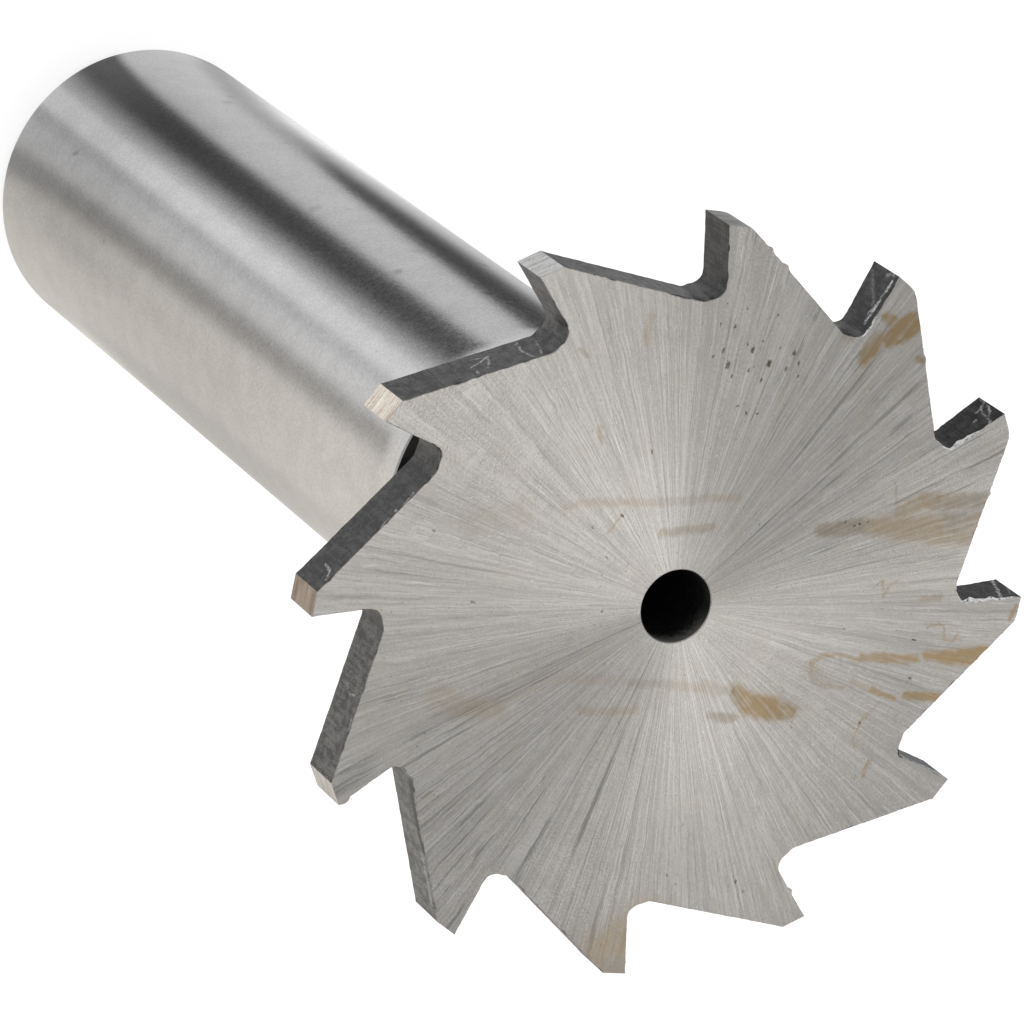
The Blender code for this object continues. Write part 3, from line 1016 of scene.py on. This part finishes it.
def tooth_wall(tooth):
    """One tooth's back, rake face and gullet: milled across, hardened and left dark, and drawn paler or
    darker with painted light and shade.
    """
    material, tree = new_material(f"tooth_wall_{tooth}")
    painted_light = WALL_PAINTED_LIGHT.get(tooth, WALL_PAINTED_LIGHT_ELSEWHERE)
    place = tree.place()
    across = tree.vector("MULTIPLY", place, (1.0, 1.0, 0.06))
    lines = tree.noise(across, detail=3.0, roughness=0.6, scale=8.0)
    mottle = tree.noise(place, detail=4.0, roughness=0.62, scale=2.6)
    grain = tree.noise(place, detail=3.0, roughness=0.6, scale=18.0)
    tone = tree.weighted((lines, 0.26), (mottle, 0.40), (grain, 0.34))
    # Painted light and shade: the wall's colours go from dark towards pale by how it faces the light
    base = tree.mix(tree.step(tone, 0.44, 0.57), blend(WALL_BLACK, WALL_DARK, painted_light),
                    blend(WALL_GREY, WALL_PALE, painted_light))
    spots = wall_strokes(WALL_SPOTS, tooth)
    scratches = wall_strokes(WALL_SCRATCHES, tooth)
    height = tree.weighted((lines, 0.012), (mottle, 0.016), (grain, 0.006))
    if spots:
        base = tree.mix(tree.strokes(wandered(tree, place, 6.0, 0.12), spots), base, grey(0.008))
    if scratches:
        scratch = tree.strokes(wandered(tree, place, 5.0, 0.17), scratches)
        flecks = tree.noise(place, detail=3.0, roughness=0.65, scale=8.0)
        scratch = tree.math("MULTIPLY", scratch, tree.step(flecks, 0.42, 0.56, 0.20, 1.0))
        base = tree.mix(scratch, base, grey(0.90))
        height = tree.math("MULTIPLY_ADD", scratch, 0.010, height)
    tree.surface(tree.node("ShaderNodeBsdfPrincipled", {
        "Base Color": base, "Metallic": 0.15, "Roughness": 0.42, "Normal": bump(tree, height, MM),
        "Specular IOR Level": WALL_SHINE.get(tooth, WALL_SHINE_ELSEWHERE),
    }))
    return material


def bright_burr():
    """Torn steel at the edges of the lips."""
    material, tree = new_material("bright_burr")
    place = tree.place()
    grain = tree.noise(place, detail=3.0, roughness=0.6, scale=7.0)
    base = tree.mix(tree.step(grain, 0.38, 0.52), grey(0.34), colour(0.95, 0.95, 0.94))
    tree.surface(tree.node("ShaderNodeBsdfPrincipled", {
        "Base Color": base, "Metallic": 0.3, "Roughness": 0.4,
        "Normal": bump(tree, tree.math("MULTIPLY", grain, 0.03), MM),
    }))
    return material


# Tints of the lands, which differ from tooth to tooth, partly real and partly painted light and shade for
# lands that face the light more or less: tooth, colour and strength
LAND_TINTS_AND_PAINTED_LIGHT = (
    (8, colour(0.62, 0.62, 0.61), 0.90),
    (9, colour(0.88, 0.79, 0.69), 0.90),
    (10, colour(0.33, 0.272, 0.226), 0.95),
    (11, colour(0.55, 0.54, 0.52), 0.90),
    (7, colour(0.19, 0.19, 0.185), 0.92),
    (0, colour(0.40, 0.40, 0.39), 0.60),
)


def ground_land():
    """The narrow lands behind the cutting edges, ground bright round the head."""
    material, tree = new_material("ground_land")
    place = tree.place()
    flat = tree.flat(place)
    drawn_out = tree.vector("MULTIPLY", place, (0.12, 0.12, 1.0))
    lines = tree.noise(drawn_out, detail=3.0, roughness=0.65, scale=5.5)
    grain = tree.noise(place, detail=2.0, scale=14.0)
    base = colour(0.60, 0.59, 0.57)
    # Painted light and shade, with some real tint: each listed land is drawn paler, darker or warmer
    for tooth, tint, strength in LAND_TINTS_AND_PAINTED_LIGHT:
        middle = polar(HEAD_RADIUS, PITCH * tooth - LAND_WIDTH / 2 / HEAD_RADIUS) / MM
        gap = tree.vector("DISTANCE", flat, (middle.x, middle.y, 0.0))
        base = tree.mix(tree.step(gap, 0.9, 1.2, strength, 0.0), base, tint)
    tone = tree.weighted((lines, 0.70), (grain, 0.30))
    streaked = tree.vector("MULTIPLY", base, (0.62, 0.57, 0.50))
    base = tree.mix(tree.step(tone, 0.40, 0.52, 0.85, 0.0), base, streaked)
    polished = tree.vector("MULTIPLY", base, (1.28, 1.28, 1.28))
    base = tree.mix(tree.step(tone, 0.54, 0.64, 0.0, 0.80), base, polished)
    height = tree.weighted((lines, 0.008), (grain, 0.003))
    tree.surface(tree.node("ShaderNodeBsdfPrincipled", {
        "Base Color": base, "Metallic": 1.0, "Roughness": 0.36, "Anisotropic": 0.6,
        "Anisotropic Rotation": 0.25, "Tangent": ring_tangent(tree), "Normal": bump(tree, height, MM),
    }))
    return material


# Small dark marks on the shank: azimuth from +X in degrees, height, radius in millimetres and strength
SHANK_SPOTS = (
    (-129.5, 32.0, 0.25, 0.40), (-163.0, 32.0, 0.22, 0.45), (-149.5, 9.0, 0.30, 0.30),
    (-90.8, 6.0, 0.22, 0.45), (-177.0, 37.5, 0.20, 0.35), (-147.0, 36.2, 0.22, 0.40),
    (-130.0, 23.5, 0.30, 0.25), (-143.0, 30.5, 0.30, 0.20), (-160.0, 3.0, 0.55, 0.16),
    (-70.0, 12.0, 0.14, 0.35), (-119.0, 38.0, 0.12, 0.35), (-112.0, 34.5, 0.10, 0.30),
    (-154.0, 8.0, 0.25, 0.25), (-101.0, 36.5, 0.10, 0.30),
)
SHANK_DARK = colour(0.525, 0.518, 0.508)
SHANK_LIGHT = colour(0.635, 0.627, 0.613)


def satin_shank():
    """The shank, ground to a satin finish."""
    material, tree = new_material("satin_shank")
    place = tree.place()
    mottle = tree.noise(place, detail=4.0, roughness=0.6, scale=0.7)
    cloud = tree.noise(place, detail=3.0, roughness=0.6, scale=5.0)
    grain = tree.noise(place, detail=3.0, roughness=0.65, scale=10.0)
    tone = tree.weighted((mottle, 0.30), (cloud, 0.20), (grain, 0.50))
    base = tree.mix(tree.step(tone, 0.40, 0.61), SHANK_DARK, SHANK_LIGHT)
    shifted = wandered(tree, place, 2.5, 0.5)
    cover = 0.0
    for azimuth, height, radius, strength in SHANK_SPOTS:
        spot = polar(SHANK_RADIUS / MM, math.radians(azimuth))
        gap = tree.vector("DISTANCE", shifted, (spot.x, spot.y, height))
        cover = tree.math("MAXIMUM", tree.step(gap, radius * 0.2, radius * 1.5, strength, 0.0), cover)
    base = tree.mix(cover, base, colour(0.12, 0.105, 0.085))
    height = tree.weighted((cloud, 0.0011), (grain, 0.0018))
    rough = tree.step(cloud, 0.3, 0.7, 0.17, 0.21)
    tree.surface(tree.node("ShaderNodeBsdfPrincipled", {
        "Base Color": base, "Metallic": 1.0, "Roughness": rough, "Anisotropic": 0.3,
        "Anisotropic Rotation": 0.25, "Tangent": ring_tangent(tree), "Normal": bump(tree, height, MM),
    }))
    return material


def turned_neck():
    """The neck and shoulder, turned and very dark."""
    material, tree = new_material("turned_neck")
    place = tree.place()
    drawn_out = tree.vector("MULTIPLY", place, (0.1, 0.1, 1.0))
    rings = tree.noise(drawn_out, detail=3.0, roughness=0.6, scale=7.0)
    mottle = tree.noise(place, detail=3.0, scale=2.0)
    tone = tree.weighted((rings, 0.5), (mottle, 0.5))
    base = tree.mix(tree.step(tone, 0.40, 0.62), grey(0.014), colour(0.045, 0.044, 0.043))
    tree.surface(tree.node("ShaderNodeBsdfPrincipled", {
        "Base Color": base, "Metallic": 0.2, "Roughness": 0.48,
        "Normal": bump(tree, tree.math("MULTIPLY", rings, 0.015), MM),
    }))
    return material


# The side of the hole where a painted highlight brightens the wall just below the mouth, as light falling in
# would
HOLE_LIT_SIDE = math.radians(42.0)


def drilled_hole():
    """Drilled steel, dark further down, with a painted highlight a little brighter just below the mouth on
    one side.
    """
    material, tree = new_material("drilled_hole")
    place = tree.place()
    rings = tree.noise(tree.vector("MULTIPLY", place, (0.3, 0.3, 1.0)), detail=3.0, scale=8.0)
    grain = tree.noise(place, detail=3.0, scale=7.0)
    depth = tree.math("SUBTRACT", LENGTH / MM, tree.parts(place)[2])
    ragged = tree.math("MULTIPLY_ADD", grain, 1.2, tree.math("SUBTRACT", depth, 0.6))
    round_hole = tree.vector("NORMALIZE", tree.flat(place))
    lit_side = tree.vector("DOT_PRODUCT", round_hole, direction(HOLE_LIT_SIDE))
    lit_share = tree.step(lit_side, 0.3, 0.95, 0.12, 1.0)
    # Painted highlight: near the mouth, mostly on one side, the wall is drawn brighter
    mouth = tree.math("MULTIPLY", tree.step(ragged, 0.15, 0.9, 1.0, 0.0), lit_share)
    base = tree.mix(tree.step(rings, 0.4, 0.7), grey(0.010), colour(0.030, 0.030, 0.028))
    base = tree.mix(mouth, base, colour(0.20, 0.20, 0.19))
    tree.surface(tree.node("ShaderNodeBsdfPrincipled", {
        "Base Color": base, "Metallic": 0.2, "Roughness": 0.45,
        "Normal": bump(tree, tree.math("MULTIPLY", rings, 0.02), MM),
    }))
    return material


# The camera: where it aims on the plane of the front face, and how it stands round that point
CAMERA_AIM = Vector((0.29 * MM, -7.99 * MM, LENGTH))
CAMERA_DISTANCE = 214.35 * MM
CAMERA_AZIMUTH = math.radians(-94.97)
CAMERA_ELEVATION = math.radians(58.40)
CAMERA_ROLL = math.radians(128.20)
CAMERA_LENS = 213.71
CAMERA_SENSOR = 36.0


def make_camera():
    data = bpy.data.cameras.new("camera")
    data.lens = CAMERA_LENS
    data.sensor_width = CAMERA_SENSOR
    data.clip_start = 0.01
    data.clip_end = 10.0
    camera = add_object("camera", data)
    outward = Vector((
        math.cos(CAMERA_ELEVATION) * math.cos(CAMERA_AZIMUTH),
        math.cos(CAMERA_ELEVATION) * math.sin(CAMERA_AZIMUTH),
        math.sin(CAMERA_ELEVATION),
    ))
    turn = (-outward).to_track_quat("-Z", "Y") @ Quaternion((0.0, 0.0, 1.0), CAMERA_ROLL)
    camera.location = CAMERA_AIM + outward * CAMERA_DISTANCE
    camera.rotation_mode = "QUATERNION"
    camera.rotation_quaternion = turn
    bpy.context.scene.camera = camera


FLOOR_SIZE = 3.0
FLOOR_COLOUR = grey(0.45)
FLOOR_GLOW = 0.75

# Painted shadows and pools of light on the floor, which only polished metal shows. Each spreads out from a
# point by the shank.
# x and y of the point, x towards the camera, first and last direction in degrees, soft edges, and factor
FLOOR_SHADOWS_AND_POOLS = (
    (2.6, 0.0, -57.0, -43.0, 8.0, 23.0, 0.11),
    (2.4, 0.0, -18.0, -8.0, 6.0, 8.0, 1.35),
    (2.4, 0.0, -1.0, 3.0, 6.0, 6.0, 0.85),
    (2.0, 0.0, 30.0, 34.0, 11.0, 14.0, 0.55),
    (2.4, 0.0, 112.0, 140.0, 8.0, 10.0, 0.84),
    (2.4, 0.0, -111.0, -104.0, 15.0, 14.0, 0.60),
    (0.2, -12.0, -138.0, -98.0, 26.0, 13.0, 0.13),
)
# The painted shadows and pools of light end at this distance from the axis, with a soft edge
FLOOR_SHADOWS_END = 36.0
FLOOR_SHADOWS_FADE = 4.0
STUDIO_LEVEL = 1.0
LOW_LEVEL = 0.80
OVERHEAD_LEVEL = 0.496
WORLD_FILL = 0.60
# Level of the floor near the shank, and the share that its front part keeps
NEAR_LEVEL = 0.78
FRONT_SHARE = 0.80
# More light further out on the camera's right
RIGHT_LEVEL = 0.17
# The strip of floor behind the shank gets a painted pool of light: its middle, half width, soft side, length,
# added levels
STRIP_MIDDLE = -1.0
STRIP_HALF = 8.0
STRIP_SOFT = 3.0
STRIP_LENGTH = 13.0
STRIP_FADE = 11.0
STRIP_RIGHT = 0.34
STRIP_LEFT_NEAR = 0.32
STRIP_LEFT = 0.67
# Light from the camera's right is a little warmer
WARM_LIGHT = colour(1.0, 0.955, 0.90)
PLAIN_LIGHT = colour(0.975, 0.98, 1.0)


def studio_light(tree):
    """Colour and level that polished metal sees on the floor."""
    place = tree.place()
    x = tree.vector("DOT_PRODUCT", place, direction(CAMERA_AZIMUTH))
    y = tree.vector("DOT_PRODUCT", place, direction(CAMERA_AZIMUTH + math.pi / 2))
    distance = tree.vector("LENGTH", tree.combine(x, y, 0.0))
    further = tree.math("MULTIPLY", tree.step(distance, 17.0, 28.0), tree.step(y, -5.0, 5.0))
    level = tree.math("MULTIPLY_ADD", further, RIGHT_LEVEL, NEAR_LEVEL)
    ahead_of = tree.math("MULTIPLY", tree.step(x, 4.0, 7.0), tree.step(distance, 10.0, 16.0, 1.0, 0.0))
    level = tree.math("MULTIPLY", level, tree.math("MULTIPLY_ADD", ahead_of, FRONT_SHARE - 1.0, 1.0))
    settled = tree.step(distance, 7.0, 12.0, 0.86, 1.0)
    # Painted shadows and pools of light on the floor, seen only in reflections
    for shadow_x, shadow_y, start, end, edge_before, edge_after, factor in FLOOR_SHADOWS_AND_POOLS:
        from_x = tree.math("SUBTRACT", x, shadow_x)
        from_y = tree.math("SUBTRACT", y, shadow_y)
        apart = tree.vector("LENGTH", tree.combine(from_x, from_y, 0.0))
        across = tree.math("ARCTAN2", from_y, from_x)
        degrees = tree.math("MULTIPLY", across, math.degrees(1.0))
        before = tree.step(degrees, start - edge_before, start)
        after = tree.step(degrees, end, end + edge_after, 1.0, 0.0)
        cover = tree.math("MULTIPLY", tree.math("MULTIPLY", before, after), settled)
        cover = tree.math("MULTIPLY", cover, tree.step(apart, 1.0, 4.0))
        level = tree.math("MULTIPLY", level, tree.math("MULTIPLY_ADD", cover, factor - 1.0, 1.0))
    beside = tree.math("ABSOLUTE", tree.math("SUBTRACT", y, STRIP_MIDDLE))
    left = tree.step(distance, 8.0, 12.0, STRIP_LEFT_NEAR, STRIP_LEFT)
    side = tree.step(y, -4.0, 4.0)
    strip = tree.math("MULTIPLY_ADD", side, tree.math("SUBTRACT", STRIP_RIGHT, left), left)
    for value, start, end, share in (
        (beside, STRIP_HALF, STRIP_HALF + STRIP_SOFT, 0.0),
        (x, -3.5, 1.0, 0.0),
        (distance, STRIP_LENGTH, STRIP_LENGTH + STRIP_FADE, 0.1),
    ):
        strip = tree.math("MULTIPLY", strip, tree.step(value, start, end, 1.0, share))
    level = tree.math("ADD", level, strip)
    beyond = tree.step(distance, FLOOR_SHADOWS_END, FLOOR_SHADOWS_END + FLOOR_SHADOWS_FADE)
    level = tree.math("MULTIPLY_ADD", tree.math("SUBTRACT", STUDIO_LEVEL, level), beyond, level)
    tint = tree.mix(tree.step(tree.math("DIVIDE", y, distance), 0.1, 0.8), PLAIN_LIGHT, WARM_LIGHT)
    return tint, level


def make_floor():
    mesh = bpy.data.meshes.new("floor")
    half = FLOOR_SIZE / 2
    corners = [(-half, -half, 0.0), (half, -half, 0.0), (half, half, 0.0), (-half, half, 0.0)]
    mesh.from_pydata(corners, [], [(0, 1, 2, 3)])
    floor = add_object("floor", mesh)
    material, tree = new_material("floor")
    path = tree.node("ShaderNodeLightPath")
    glossy = path.outputs["Is Glossy Ray"]
    diffuse = tree.node("ShaderNodeBsdfDiffuse", {"Color": tree.mix(glossy, FLOOR_COLOUR, BLACK)})
    seen = tree.math("MAXIMUM", path.outputs["Is Camera Ray"], path.outputs["Is Transmission Ray"])
    tint, level = studio_light(tree)
    strength = tree.math("MULTIPLY_ADD", glossy, level, tree.math("MULTIPLY", seen, FLOOR_GLOW))
    light = tree.mix(glossy, WHITE, tint)
    glow = tree.node("ShaderNodeEmission", {"Color": light, "Strength": strength})
    total = tree.node("ShaderNodeAddShader")
    tree.tree.links.new(diffuse.outputs[0], total.inputs[0])
    tree.tree.links.new(glow.outputs[0], total.inputs[1])
    tree.surface(total)
    mesh.materials.append(material)


def make_world():
    world = bpy.data.worlds.new("studio")
    bpy.context.scene.world = world
    tree = Tree(world, "ShaderNodeOutputWorld")
    height = tree.parts(tree.node("ShaderNodeTexCoord").outputs["Generated"])[2]
    studio = tree.step(height, -0.15, 0.15, LOW_LEVEL, OVERHEAD_LEVEL)
    path = tree.node("ShaderNodeLightPath")
    level = tree.between(path.outputs["Is Glossy Ray"], WORLD_FILL, studio)
    level = tree.between(path.outputs["Is Camera Ray"], level, 1.0)
    tree.surface(tree.node("ShaderNodeBackground", {"Color": WHITE, "Strength": level}))


# Soft lamps over the head: direction, side of the square, distance and power
LAMPS = (
    ("lamp_right", (0.415, 0.200, 0.888), 0.34, 0.75, 0.73),
    ("lamp_left", (-0.435, 0.387, 0.813), 0.34, 0.75, 0.68),
    ("lamp_behind", (0.490, 0.378, 0.785), 0.34, 0.75, 0.33),
)


def make_lamps():
    target = Vector((0.0, 0.0, LENGTH))
    for name, direction, size, distance, power in LAMPS:
        data = bpy.data.lights.new(name, "AREA")
        data.shape = "SQUARE"
        data.size = size
        data.energy = power
        lamp = add_object(name, data)
        way = Vector(direction).normalized()
        lamp.location = target + way * distance
        lamp.rotation_mode = "QUATERNION"
        lamp.rotation_quaternion = (-way).to_track_quat("-Z", "Y")


def make_materials():
    """The materials by their keys in the mesh. Each tooth has its own, which hold the marks near it."""
    materials = {BACK_FACE: ground_face("ground_back_face"), BURR: bright_burr(), LAND: ground_land(),
                 SHANK: satin_shank(), NECK: turned_neck(), HOLE: drilled_hole()}
    for tooth in range(TOOTH_COUNT):
        materials[front_sector(tooth)] = ground_face(f"ground_face_{tooth}", tooth)
        materials["wall", tooth] = tooth_wall(tooth)
    return materials


def main():
    cutter = make_cutter(make_materials())
    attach(cutter, "root")
    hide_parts(NODE)
    make_floor()
    make_world()
    make_lamps()
    make_camera()
    bpy.context.scene.view_settings.view_transform = "Standard"


main()
